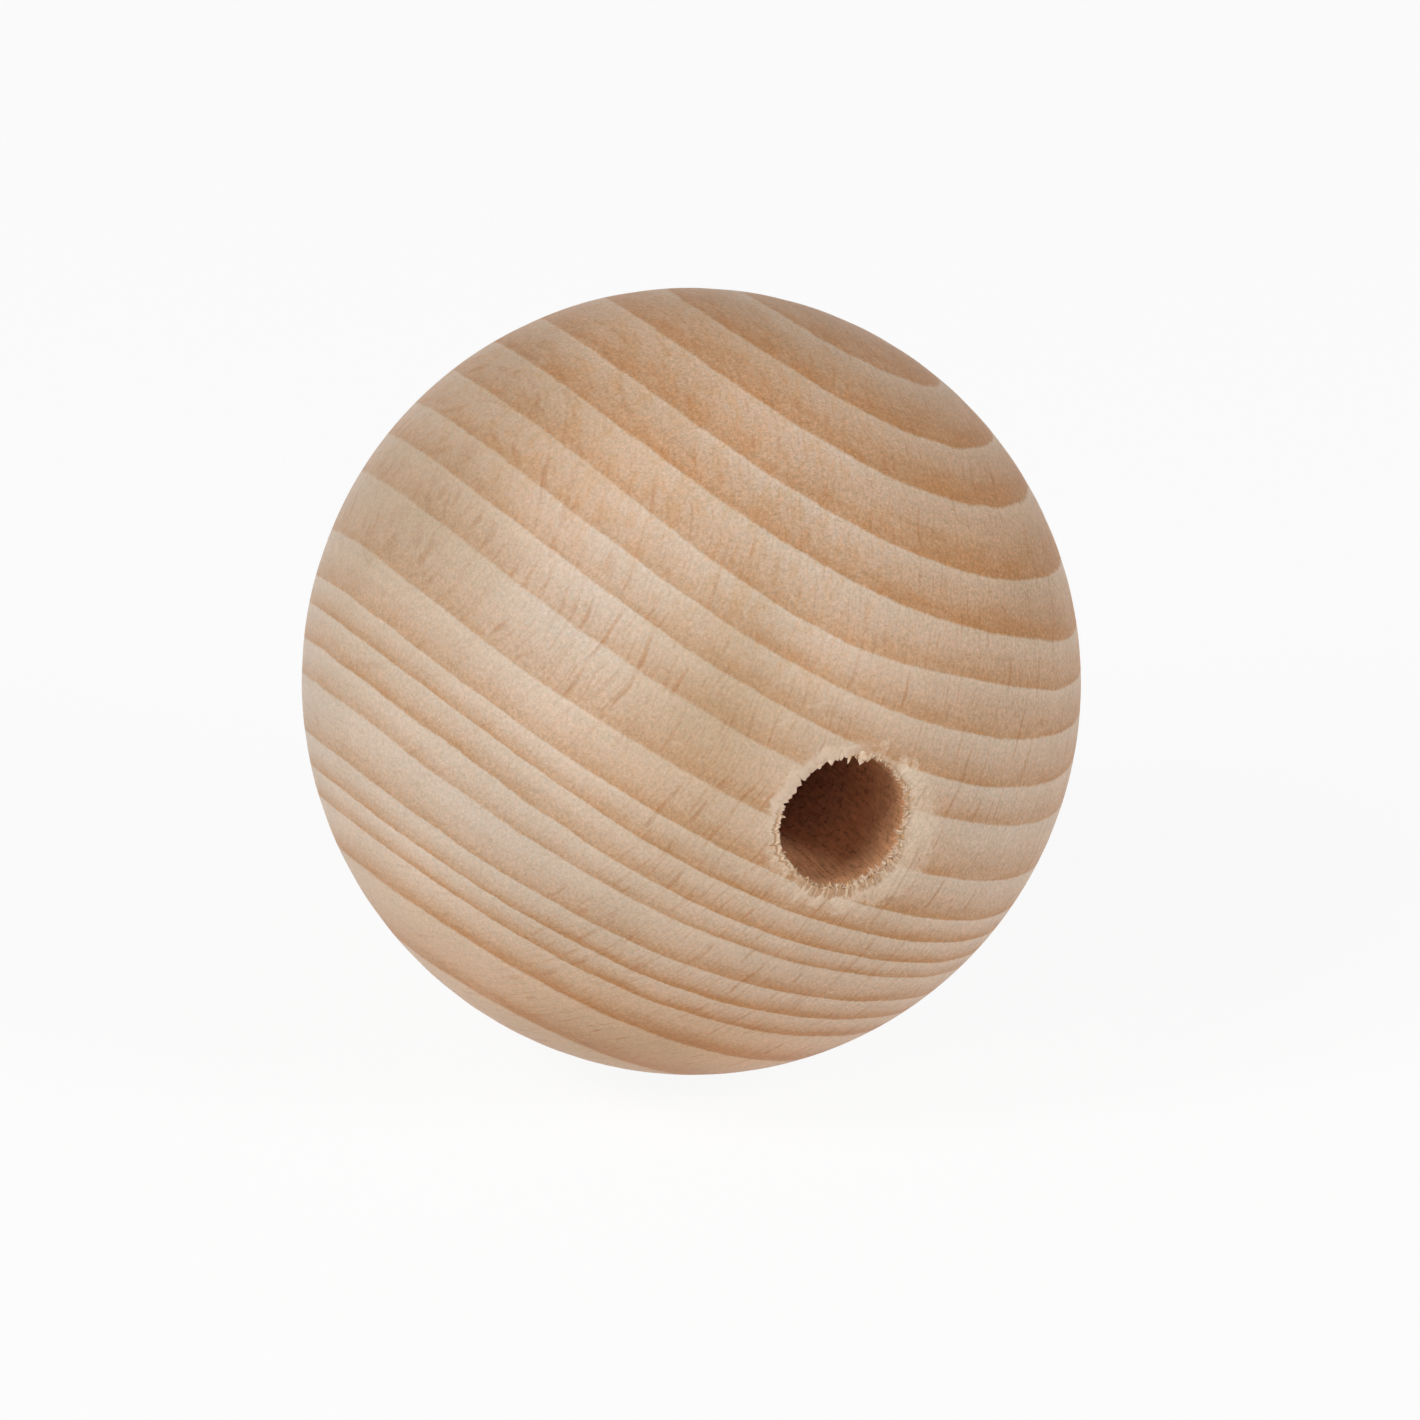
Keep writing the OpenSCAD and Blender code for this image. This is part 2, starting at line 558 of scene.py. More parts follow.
def vector(operation, *values):
    """One Vector Math node. A dot product or a length gives back its number."""
    made = node("ShaderNodeVectorMath", operation=operation)
    for socket, value in zip(made.inputs, values):
        feed(socket, value)
    return made.outputs["Value" if operation in ("DOT_PRODUCT", "LENGTH") else "Vector"]


def joined(x, y, z):
    """Three numbers as one vector."""
    made = node("ShaderNodeCombineXYZ")
    for socket, value in zip(made.inputs, (x, y, z)):
        feed(socket, value)
    return made.outputs[0]


def product(first, *others):
    """Several numbers multiplied together."""
    for other in others:
        first = calc("MULTIPLY", first, other)
    return first


def stretched(place, rates):
    """A place of three numbers, each times its own rate: how fast a pattern changes that way."""
    return joined(*(calc("MULTIPLY", part, rate) for part, rate in zip(place, rates)))


def swing(value, amount):
    """A number from 0 to 1 turned into a swing round 0, half of amount either way."""
    return calc("MULTIPLY_ADD", value, amount, -amount / 2)


def weakened(value, mask, share):
    """A number less a share of itself where the mask is 1."""
    return calc("MULTIPLY", value, calc("MULTIPLY_ADD", mask, -share, 1.0))


def ramp(value, low, high, to_low=0.0, to_high=1.0):
    """A number carried smoothly from one range into another."""
    made = node("ShaderNodeMapRange", interpolation_type="SMOOTHSTEP")
    for socket, setting in zip(made.inputs, (value, low, high, to_low, to_high)):
        feed(socket, setting)
    return made.outputs[0]


def noise(place, scale, detail=2.0, roughness=0.5):
    """Cloudy noise from 0 to 1."""
    made = node("ShaderNodeTexNoise", noise_dimensions="3D")
    feed(made.inputs["Vector"], place)
    made.inputs["Scale"].default_value = scale
    made.inputs["Detail"].default_value = detail
    made.inputs["Roughness"].default_value = roughness
    return made.outputs["Fac"]


def blend(share, first, second, mode="MIX"):
    """Two colours mixed, or one laid over the other."""
    made = node("ShaderNodeMix", data_type="RGBA", blend_type=mode)
    feed(made.inputs["Factor"], share)
    feed(made.inputs["A"], first)
    feed(made.inputs["B"], second)
    return made.outputs["Result"]


def shaded(paint, shade):
    """A colour made darker or paler by one number."""
    return blend(1.0, paint, joined(shade, shade, shade), "MULTIPLY")


def colour(red, green, blue):
    """A colour as read from a picture, 0 to 255, turned into the linear values a shader needs."""
    value = np.array([red, green, blue]) / 255
    linear = np.where(value <= 0.04045, value / 12.92, ((value + 0.055) / 1.055) ** 2.4)
    return (*linear.tolist(), 1.0)


# %% [markdown]
# ## Where the ball sat in the log
#
# Growth rings are tubes round the log's pith. In the photograph they bend round a line far
# above and to the right of the ball, 92 mm from its middle, and the fibres run nearly along
# the bore. Three directions fix that: along the fibres, outwards from the pith, and along the
# rings. Any point of the ball then has a place in the log.

# %% Log directions
ALONG_FIBRE = (0.032, -0.998, 0.058)
FROM_PITH = (-0.478, -0.067, -0.876)
ALONG_RING = (0.878, 0.000, -0.479)
PITH_DISTANCE = 92.1


def log_place():
    """Where the shaded point lies in the log, in millimetres: the point itself, straight across, along
    the ring, out from the middle ring, and along the fibre."""
    place = vector("SCALE", node("ShaderNodeTexCoord").outputs["Object"])
    place.node.inputs["Scale"].default_value = 1 / MM
    across = vector("DOT_PRODUCT", place, ALONG_RING)
    outwards = calc("ADD", vector("DOT_PRODUCT", place, FROM_PITH), PITH_DISTANCE)
    fibre = vector("DOT_PRODUCT", place, ALONG_FIBRE)
    out = calc("SUBTRACT", vector("LENGTH", joined(across, outwards, 0.0)), PITH_DISTANCE)
    ring = calc("MULTIPLY", calc("ARCTAN2", across, outwards), PITH_DISTANCE)
    return place, across, ring, out, fibre


# %% [markdown]
# ## Growth rings
#
# A year's ring starts pale and porous, darkens slowly, and ends at a sharp dark edge. The
# widths below are this log's years, read across the photograph. Years also bulge and dip, and
# each swell is one smooth bump that moves the rings out or in. A curve counts the years, the
# count's fraction says how late in its year a point grew, and its whole part names the year.
# The wood's tone drifts slowly too, and the same kind of bump makes a place darker or paler, or more
# golden. Some of these bumps are painted light and shade instead: a painted highlight at the upper left,
# and painted shade along the ball's outline as the camera sees it.

# %% Years and swells
FIRST_YEAR_STARTS = -34.8
DARKEST_YEAR = 1.25
# Each year: its width, and how dark its late wood grew, up to DARKEST_YEAR.
YEARS = (
    (3.2, 0.9), (3.2, 0.9), (3.0, 0.95), (3.2, 0.95), (4.2, 0.9), (3.6, 0.95), (4.2, 0.75), (3.1, 0.75),
    (3.1, 0.75), (3.2, 0.65), (4.5, 0.7), (3.8, 0.8), (2.4, 0.95), (2.5, 0.95), (1.9, 0.8), (3.2, 0.85),
    (2.1, 1.0), (1.6, 1.0), (2.5, 1.1), (3.6, 1.0), (3.7, 0.9), (3.3, 0.9),
)
# Each swell: place along the ring and out from the middle, reach along and out, height.
SWELLS = (
    (15, 17.0, 16, 5.6, -2.2),
    (9, -10.5, 10, 2.2, -0.85),
    (-27, -10.5, 8, 2.5, -0.55),
    (24, -14.0, 8, 2.6, 1.0),
    (25, -24.5, 16, 5.0, -0.9),
    (27, 4.0, 14, 6.5, 0.9),
    (12, -3.6, 14, 2.0, 0.5),
    (-25, 4.0, 8, 4.6, 0.68),
    (-22, 11.0, 8, 2.0, -0.45),
    (-19, 17.0, 7, 2.5, 0.35),
)
# Each tone and each gold: place along the ring and out from the middle, reach along and out, and
# the share of light, or of warmth, that it adds. The tones are partly painted light and shade:
# pale bumps at the upper left and top paint the key lamp's highlight and light from above, and
# dark bumps along the ball's outline as seen paint shade at its rim. The rest are the wood's own tone.
TONES_AND_PAINTED_LIGHT = (
    (-12.3, -1.5, 5, 7, -0.17),
    (-13, -23, 9, 5, 0.06),
    (-22, 12, 8, 8, 0.06),
    (-6, -10, 4, 4, 0.06),
    (-18, -22, 8, 4, 0.07),
    (-25, -6, 4.5, 9, 0.08),
    (-13, -1, 4, 6, -0.05),
    (-9, 9, 4, 7, -0.10),
    (16, -19, 6, 5, -0.12),
    (2, 26, 10, 4, -0.16),
    (-20, -26, 8, 4, -0.14),
    (-32, 2, 3.5, 8, -0.17),
    (-4, -4, 4, 3, -0.07),
    (-30, -14, 4, 4, -0.08),
    (-17, 22, 5, 4, 0.09),
    (22, -8, 4.5, 8, -0.08),
    (-9, 28, 4, 3, 0.08),
)
# Some golds are painted sheen and shade: the cooler ones at the upper left whiten the key lamp's highlight,
# and the warm one at the bottom stands in for the shade at the rim there. The rest are the wood's own
# warmth.
GOLDS_AND_PAINTED_LIGHT = (
    (-24, -17, 9, 9, 0.07),
    (4, 24, 13, 5, 0.11),
    (11, -19, 8, 7, 0.03),
    (-23.5, -5, 5, 5, -0.03),
    (-12, 0, 5, 8, 0.05),
    (-30, -3, 5, 9, 0.05),
    (-29, -14, 5, 7, 0.04),
    (-24, 0, 5, 5, -0.04),
    (-24, -22, 8, 5, 0.04),
    (20, 5, 8, 8, -0.02),
    (12, -6, 8, 8, -0.03),
    (-18, -26, 9, 4, 0.06),
    (-18, 17, 8, 8, -0.04),
    (-19, -19, 8, 5, -0.03),
    (14, 2, 6, 6, -0.03),
)


def bumps(ring, out, places):
    """The sum of smooth round bumps at a place, each exp(-distance^2) of its own height."""
    place = joined(ring, out, 0.0)
    total = 0.0
    for along, outward, reach, reach_out, height in places:
        per_reach = (1 / reach, 1 / reach_out, 0)
        middle = (-along / reach, -outward / reach_out, 0)
        local = vector("MULTIPLY_ADD", place, per_reach, middle)
        bump = calc("EXPONENT", calc("MULTIPLY", vector("DOT_PRODUCT", local, local), -1.0))
        total = calc("MULTIPLY_ADD", bump, float(height), total)
    return total


def curve_through(value, xs, ys):
    """A number read off a curve of straight stretches through the points (x, y), all from 0 to 1."""
    curve_node = node("ShaderNodeFloatCurve")
    curve = curve_node.mapping.curves[0]
    for _ in range(len(xs) - 2):
        curve.points.new(0.5, 0.5)
    for point, x, y in zip(curve.points, xs, ys):
        point.location = (x, y)
        point.handle_type = "VECTOR"
    curve_node.mapping.update()
    feed(curve_node.inputs["Value"], value)
    return curve_node.outputs[0]


def year_count(out):
    """The number of years grown up to a distance from the pith."""
    edges = np.concatenate([[0], np.cumsum([width for width, _ in YEARS])])
    share = calc("DIVIDE", calc("SUBTRACT", out, FIRST_YEAR_STARTS), float(edges[-1]))
    counted = curve_through(share, edges / edges[-1], np.linspace(0, 1, len(edges)))
    return calc("MULTIPLY", counted, float(len(YEARS)))


def late_strength(year):
    """How dark a year's late wood grew, read at the year's whole number."""
    xs = np.linspace(0, 1, len(YEARS))
    strengths = [strength / DARKEST_YEAR for _, strength in YEARS]
    read = curve_through(calc("DIVIDE", year, len(YEARS) - 1.0), xs, strengths)
    return calc("MULTIPLY", read, DARKEST_YEAR)


# %% [markdown]
# ## Rays
#
# Beech rays are thin upright sheets that run from the pith to the bark. Cut across the fibre
# they are long lines that cross the years, cut along it they are short dashes, and where the
# ball's surface lies in their plane they are broad flecks. So they are made as sheets in space:
# slots side by side, one sheet in each, dark only where cloudy noise says so. In this log the
# sheets fan out only half as fast as the rings curve, and they bend sideways on their way out.

# %% Ray sheets
# How far apart in the noise two slots are, so that neighbours don't look alike.
SLOT_APART = 3.7


def ray_sheets(ring, out, fibre, pitch, half, reach_out, reach_fibre, threshold):
    """Darkness from 0 to 1 of thin sheets across the ring direction.

    A slot is pitch wide and its sheet stands near its middle, moved by chance. The sheet is full
    within 0.3 half of its own middle and gone at half. Noise stretched by reach_out and
    reach_fibre, different in each slot, turns it on above threshold."""
    slot = calc("DIVIDE", ring, pitch)
    number = calc("FLOOR", slot)
    luck = node("ShaderNodeTexWhiteNoise", noise_dimensions="1D")
    feed(luck.inputs["W"], number)
    moved = calc("MULTIPLY_ADD", luck.outputs["Value"], 0.6, 0.2)
    aside = calc("MULTIPLY", calc("ABSOLUTE", calc("SUBTRACT", calc("FRACT", slot), moved)), pitch)
    core = ramp(aside, half, half * 0.3)
    down, along = calc("DIVIDE", out, reach_out), calc("DIVIDE", fibre, reach_fibre)
    place = joined(calc("MULTIPLY", number, SLOT_APART), down, along)
    present = ramp(noise(place, 1.0, 1.0), threshold, threshold + 0.14)
    return calc("MULTIPLY", core, present)


# %% [markdown]
# ## The beech itself
#
# The finish is matte: raw, sanded wood with no varnish. The colour runs from pale early wood
# to brown late wood, rays darken it, and pores and sanding dust give it a fine speckle. An image
# of the wood would need a flat map of a round thing. A pattern in space needs none, and it fits
# at the rim and inside the bore by itself.

# %% Beech colours
EARLY_WOOD = colour(214, 189, 165)
LATE_WOOD = colour(190, 142, 99)
RAY_BROWN = colour(177, 121, 75)
CRUSHED = colour(229, 207, 183)
TORN_ENDS = colour(230, 204, 174)
ROLLED_EDGE = colour(221, 196, 173)
# Lip brown and lip pale are the striped lip's own colours. They also serve as painted shade and painted
# light on the curl, and as painted shade at the upper right.
LIP_BROWN_AND_PAINTED_SHADE = colour(180, 136, 98)
LIP_PALE_AND_PAINTED_LIGHT = colour(228, 202, 172)
BORED_WALL = colour(199, 147, 108)
DEEP_WALL = colour(195, 151, 122)

beech = bpy.data.materials.new("raw_beech_grain")
beech.use_nodes = True
tree = beech.node_tree
tree.nodes.clear()
place, across, ring, out, fibre = log_place()

# %% [markdown]
# ### Years
#
# No ring is a perfect tube, so slow noise sways the rings and fine noise makes them tremble. In
# wide inner years the late wood starts early, and in narrow outer years it comes late and fast,
# so the power of the run from pale to brown rises with the year. The run drops back over a
# short width at the year's end, as a hard step would look drawn. Late wood isn't even either:
# noise stretched along the rings blotches it, and it is darker on the right.

# %% Years as colour
SWAY = 0.30
TREMBLE = 0.20
YEAR_END = 0.05
FIRST_POWER = 0.50
POWER_PER_YEAR = 0.085
# The run from pale to brown leaves out this much of a year at its start, and less at its end.
LEFT_OUT = 0.055
sway = swing(noise(joined(ring, out, fibre), 0.22, 1.0), SWAY)
tremble = swing(noise(joined(ring, out, fibre), 1.6, 2.0), TREMBLE)
grown = calc("SUBTRACT", calc("ADD", out, calc("ADD", sway, tremble)), bumps(ring, out, SWELLS))
count = year_count(grown)
year = calc("FLOOR", count)
lateness = calc("FRACT", count)
ripened = calc("MULTIPLY_ADD", lateness, 1.09, -LEFT_OUT, clamp=True)
power = calc("MULTIPLY_ADD", year, POWER_PER_YEAR, FIRST_POWER)
fading = calc("MULTIPLY_ADD", lateness, -1 / YEAR_END, 1.0, clamp=True)
late = calc("MAXIMUM", calc("POWER", ripened, power), fading)
blotches = noise(stretched((ring, grown, fibre), (0.25, 1.1, 0.28)), 1.0, 3.0, 0.6)
blotches = calc("MULTIPLY_ADD", blotches, 0.9, 0.55)
late = product(late, late_strength(year), product(blotches, ramp(across, -24.0, 14.0, 0.84, 1.18)))
wood = blend(late, EARLY_WOOD, LATE_WOOD)

# %% [markdown]
# ### Ray colour
#
# Three sizes of ray, from bold to fine, are added up, all on the same bent fan. They show most
# in late wood, as on the real ball, and they are fainter on its left side.

# %% Rays as colour
# Each size of ray: its share of the colour, then pitch, half, reach_out, reach_fibre and
# threshold as in ray_sheets.
RAYS = (
    (0.50, 2.10, 0.20, 4.6, 2.0, 0.50),
    (0.33, 0.95, 0.13, 3.2, 1.4, 0.48),
    (0.22, 0.40, 0.09, 1.8, 0.8, 0.44),
)
lean = calc("MULTIPLY", calc("MULTIPLY_ADD", out, 0.005, 0.027), out)
fanned = calc("MULTIPLY_ADD", calc("ADD", across, ring), 0.5, lean)
bend = noise(stretched((ring, out, fibre), (0.1, 0.22, 0.3)), 1.0, 1.0)
fanned = calc("MULTIPLY_ADD", bend, 1.2, fanned)
all_rays = 0.0
for share, *sizes in RAYS:
    all_rays = calc("MULTIPLY_ADD", ray_sheets(fanned, out, fibre, *sizes), share, all_rays)
all_rays = calc("MULTIPLY", all_rays, calc("MULTIPLY_ADD", lateness, 0.55, 0.45), clamp=True)
plain_side = calc("MULTIPLY", ramp(out, 0.0, 8.0), ramp(across, -10.0, -18.0))
mottled_side = calc("MULTIPLY", ramp(out, -1.0, -9.0), ramp(across, 4.0, -9.0))
all_rays = weakened(weakened(all_rays, plain_side, 0.65), mottled_side, 0.35)
wood = blend(all_rays, wood, RAY_BROWN)

# %% [markdown]
# ### Grain, tone, warmth and painted light
#
# The light of the wood is a sum of fine things: streaks along the fibre, speckle, bands from
# year to year, and wide clouds. The speckle is stronger in late wood, near the pith and on the
# right. The tone then drifts over the ball, partly as painted light and shade, and warmth moves
# each place towards gold or grey by taking from blue what it gives to red. Far from the middle
# ring, both ways, the wood is a little darker and warmer. As seen, that lies along the ball's top
# and bottom, and it is partly painted shade at the rim there. Golden mottles lie at the upper
# left. All of it multiplies the wood's colour, so the rings stay where they are.

# %% Fine light and dark
STREAKS, SPECKLE, BANDS, CLOUDS = 0.24, 1.00, 0.12, 0.16
streaks = noise(stretched((ring, out, fibre), (5.0, 2.2, 1.3)), 1.0, 3.0, 0.75)
speckle = noise(place, 3.8, 3.0, 1.0)
bands = noise(stretched((ring, grown, fibre), (0.05, 1.6, 0.05)), 1.0, 2.0)
clouds = noise(place, 0.16, 2.0)
plain = 1.0 - 0.5 * (STREAKS + BANDS + CLOUDS)
strength = calc("ADD", calc("MULTIPLY_ADD", late, 0.50, 0.82), ramp(out, -6.0, -18.0, 0.0, 0.35))
strength = calc("ADD", strength, ramp(across, 0.0, 16.0, 0.0, 0.35))
grain = calc("MULTIPLY", swing(speckle, SPECKLE), strength)
shade = calc("MULTIPLY_ADD", streaks, STREAKS, calc("ADD", grain, plain))
shade = calc("ADD", shade, calc("MULTIPLY_ADD", bands, BANDS, calc("MULTIPLY", clouds, CLOUDS)))

# %% Tone and warmth
TINT = 0.19
TONE = 1.018
TONE_PER_MM = 0.0018
WARMTH_PER_MM = 0.0012
FAR_CHANGE = 0.04
MOTTLE_WARMTH = 0.08
MOTTLE_DARKNESS = 0.09
# Between the mottles the wood is cooler by this much, and lighter by this share of a mottle.
BETWEEN_COOLER = 0.035
BETWEEN_LIGHTER = 0.15
# The tone bumps paint light and shade along with the wood's own tone: paler at the key lamp's highlight and
# the top, darker along the ball's outline as seen.
tone_and_painted_light = calc("MULTIPLY_ADD", across, TONE_PER_MM, calc("ADD", bumps(ring, out, TONES_AND_PAINTED_LIGHT), TONE))
# Far from the middle ring means the ball's top and bottom as seen. The darker, warmer wood there is partly
# painted shade at the rim.
far_rings = ramp(calc("ABSOLUTE", out), 14.0, 28.0)
tint = swing(noise(place, 2.0, 2.0, 0.8), TINT)
warmth_and_painted_light = calc("MULTIPLY_ADD", far_rings, FAR_CHANGE, tint)
warmth_and_painted_light = calc("MULTIPLY_ADD", across, WARMTH_PER_MM, warmth_and_painted_light)
# Some gold bumps paint the key lamp's highlight cooler and paler at the upper left, a painted sheen.
warmth_and_painted_light = calc("ADD", warmth_and_painted_light, bumps(ring, out, GOLDS_AND_PAINTED_LIGHT))
mottles = ramp(noise(stretched((ring, out, fibre), (1.1, 0.5, 0.4)), 1.0, 3.0, 0.65), 0.44, 0.64)
mottles = calc("MULTIPLY", mottles, mottled_side)
warmth_and_painted_light = calc("MULTIPLY_ADD", mottled_side, -BETWEEN_COOLER, warmth_and_painted_light)
warmth_and_painted_light = calc("MULTIPLY_ADD", mottles, MOTTLE_WARMTH, warmth_and_painted_light)
darker = calc("SUBTRACT", mottles, calc("MULTIPLY", mottled_side, BETWEEN_LIGHTER))
tone_and_painted_light = calc("MULTIPLY_ADD", darker, -MOTTLE_DARKNESS, tone_and_painted_light)
toned_with_painted_light = calc("MULTIPLY", shade, weakened(tone_and_painted_light, far_rings, FAR_CHANGE))
red_shade = calc("MULTIPLY", toned_with_painted_light, calc("ADD", warmth_and_painted_light, 1.0))
blue_shade = calc("MULTIPLY", calc("POWER", toned_with_painted_light, 1.25), calc("SUBTRACT", 1.0, warmth_and_painted_light))
wood = blend(1.0, wood, joined(red_shade, toned_with_painted_light, blue_shade), "MULTIPLY")

# %% [markdown]
# ## The crushed ring
#
# The drill bent the fibres over round the mouth. Bent fibres scatter more light, so a ring
# between half a millimetre and three wide is paler and hides the years, in soft patches. It is
# widest at the lower right, where the rays still show through it. The mesh's number says how far
# a point lies from the rim, and the direction from the bore says on which side. Noise on both
# makes the patches.

# %% Place round the bore
edge = node("ShaderNodeAttribute", attribute_name="from_rim").outputs["Fac"]
mouth = vector("SUBTRACT", place, tuple(OUT * RIM_H))
axial = vector("DOT_PRODUCT", mouth, tuple(OUT))
along_axis = vector("SCALE", tuple(OUT))
feed(along_axis.node.inputs["Scale"], axial)
spoke = vector("NORMALIZE", vector("SUBTRACT", mouth, along_axis))


def facing(degrees):
    """The cosine between the direction from the bore and one side, given in degrees."""
    side = math.radians(degrees)
    return vector("DOT_PRODUCT", spoke, tuple(ACROSS * math.cos(side) + UP * math.sin(side)))


def towards(degrees, start, full):
    """From 0 to 1 as the direction from the bore turns to one side, between two cosines."""
    return ramp(facing(degrees), start, full)


def round_noise(turns, outwards, detail):
    """Noise that changes quickly round the bore and slowly outwards."""
    quick = vector("SCALE", spoke)
    quick.node.inputs["Scale"].default_value = turns
    slow = vector("SCALE", mouth)
    slow.node.inputs["Scale"].default_value = outwards
    return noise(vector("ADD", quick, slow), 1.0, detail, 0.6)


downward = towards(-90, 0.3, 0.95)

# %% Crushed ring
HALO_NEAR, HALO_FAR = 0.62, 0.48
HALO_SOFT = 0.6
HALO_PATCHES, HALO_SPOKES = 4.6, 1.4
# The ring's width is 0.6 + 1.2 c + 1.2 c^2 mm, where c is the cosine to its widest side, and it
# is 0.6 mm wider towards two more sides.
wide_way = facing(-38)
wide = calc("MULTIPLY_ADD", calc("MULTIPLY_ADD", wide_way, 1.2, 1.2), wide_way, 0.60)
wide = calc("MULTIPLY_ADD", towards(140, 0.6, 0.95), 0.6, wide)
wide = calc("MULTIPLY_ADD", towards(-145, 0.85, 0.97), 0.6, wide)
patches = swing(noise(place, 0.9, 3.0, 0.6), HALO_PATCHES)
patches = calc("ADD", patches, swing(round_noise(9.0, 0.3, 2.0), HALO_SPOKES))
reach = calc("ADD", wide, patches)
halo = ramp(edge, calc("ADD", reach, HALO_SOFT), calc("SUBTRACT", reach, HALO_SOFT))
crushed_shade = calc("MULTIPLY", shade, calc("MULTIPLY_ADD", all_rays, -0.45, 1.03))
halo = calc("MULTIPLY", halo, ramp(edge, 0.8, 2.2, HALO_NEAR, HALO_FAR))
wood = blend(halo, wood, shaded(CRUSHED, crushed_shade))

# %% [markdown]
# ## The lip
#
# Each part of the lip has its own colours. The rolled edge at the upper left is smooth and
# pinkish. The curl on the left is a pale strip with a brown line behind it, frayed by noise:
# painted light on the curl's crest and painted shade in the groove behind it. At the upper right
# the edge is darker brown, painted shade under the crease there. A faint pale arc a few
# millimetres above the mouth looks like the mark of something round that was pressed on the
# wood. At the bottom the lip is striped outwards, brown and pale in turn, where fibre ends stand
# side by side.

# %% Rolled edge, curl and painted shade
rolled_here = calc("MULTIPLY", towards(math.degrees(ROLL_SIDE), 0.45, 0.85), ramp(edge, 1.4, 0.6))
wood = blend(calc("MULTIPLY", rolled_here, 0.8), wood, ROLLED_EDGE)
curl_here = towards(math.degrees(CURL_SIDE), 0.80, 0.95)
frayed = calc("ADD", edge, swing(noise(place, 1.8, 3.0), 0.5))
painted_groove_shade = calc("MULTIPLY", ramp(frayed, 0.22, 0.32), ramp(frayed, 0.52, 0.42))
# The brown line in the curl's groove is painted shade.
wood = blend(product(curl_here, painted_groove_shade, 0.75), wood, LIP_BROWN_AND_PAINTED_SHADE)
# The pale strip on the curl's crest is painted light.
wood = blend(product(curl_here, ramp(frayed, 0.26, 0.16), 0.6), wood, LIP_PALE_AND_PAINTED_LIGHT)
# Darker brown at the upper right edge: painted shade under the crease.
upper_right_painted_shade = calc("MULTIPLY", towards(62, 0.88, 0.98), ramp(frayed, 0.95, 0.35))
wood = blend(calc("MULTIPLY", upper_right_painted_shade, 0.40), wood, LIP_BROWN_AND_PAINTED_SHADE)

# %% Pressed arc
ARC_STARTS = 4.35
ARC_ENDS = 4.80
arc = ramp(edge, ARC_STARTS, ARC_STARTS + 0.15)
arc = calc("MULTIPLY", arc, ramp(edge, ARC_ENDS, ARC_ENDS - 0.20))
arc_here = calc("MULTIPLY", towards(95, 0.75, 0.95), ramp(noise(place, 0.6, 1.0), 0.40, 0.55))
wood = blend(product(arc, arc_here, 0.22), wood, CRUSHED)

# %% Striped lip
# The lip is about a quarter of a millimetre wide, and three quarters at the bottom.
stripes = ramp(round_noise(19.0, 0.40, 2.0), 0.44, 0.68)
lip_colour = shaded(blend(stripes, LIP_BROWN_AND_PAINTED_SHADE, LIP_PALE_AND_PAINTED_LIGHT), shade)
lip_width = calc("MULTIPLY_ADD", downward, 0.5, -0.4)
lip_width = calc("MULTIPLY_ADD", round_noise(6.0, 0.2, 2.0), 1.3, lip_width)
lip = ramp(edge, calc("ADD", lip_width, 0.15), calc("SUBTRACT", lip_width, 0.15))
wood = blend(calc("MULTIPLY", lip, calc("MULTIPLY_ADD", downward, 0.50, 0.25)), wood, lip_colour)

# %% [markdown]
# ## The bore's wall
#
# Under the rim the torn fibre ends are pale, and below them the drilled wall is brown and
# pitted, with strands that run along it as its grooves do. The pale ends hang down in tongues,
# because their depth follows the same strands. Light falls off quickly in a narrow hole, and the
# real wall shows more than that would leave, so light is painted into the wall: it is paler
# deeper in, and darker near the mouth as painted shade from the torn fibres.

# %% Bore wall
hairs = round_noise(15.0, 0.7, 3.0)
hair_shade = calc("ADD", hairs, 0.50)
pits = ramp(noise(place, 2.4, 3.0, 0.7), 0.36, 0.46, 0.62, 1.0)
# Strands and pits are the wall's own. The ramp on depth is painted light and shade: paler deep in, darker
# at the mouth.
wall_grain_and_painted_light = product(hair_shade, pits, ramp(axial, -8.0, 0.0, 1.20, 0.88))
wall_colour = blend(ramp(axial, -4.0, -13.0), BORED_WALL, DEEP_WALL)
torn = blend(calc("MULTIPLY", downward, 0.8), shaded(TORN_ENDS, hair_shade), lip_colour)
tongues = calc("SUBTRACT", calc("MULTIPLY", edge, -1.0), 0.55)
torn_deep = calc("MULTIPLY_ADD", hairs, 1.1, tongues)
wood = blend(ramp(edge, 0.0, -0.25), wood, torn)
wood = blend(ramp(torn_deep, 0.25, 0.85), wood, shaded(wall_colour, wall_grain_and_painted_light))

# %% [markdown]
# ## The surface
#
# Sanded wood has hardly any gloss. Its pores and streaks are also a fine relief, a few
# hundredths of a millimetre deep, too fine for the mesh, so a bump gives it.

# %% Beech surface
WOOD_ROUGHNESS = 0.43
WOOD_GLOSS = 0.09
PORE_DEPTH = 0.04
PORE_STRENGTH = 0.35
surface = node("ShaderNodeBsdfPrincipled")
feed(surface.inputs["Base Color"], wood)
surface.inputs["Roughness"].default_value = WOOD_ROUGHNESS
surface.inputs["Specular IOR Level"].default_value = WOOD_GLOSS
relief = node("ShaderNodeBump")
relief.inputs["Strength"].default_value = PORE_STRENGTH
relief.inputs["Distance"].default_value = PORE_DEPTH * MM
feed(relief.inputs["Height"], calc("ADD", streaks, speckle))
feed(surface.inputs["Normal"], relief.outputs[0])
finish = node("ShaderNodeOutputMaterial")
feed(finish.inputs["Surface"], surface.outputs[0])
ball.data.materials.append(beech)
print(f"beech: {len(tree.nodes)} nodes")

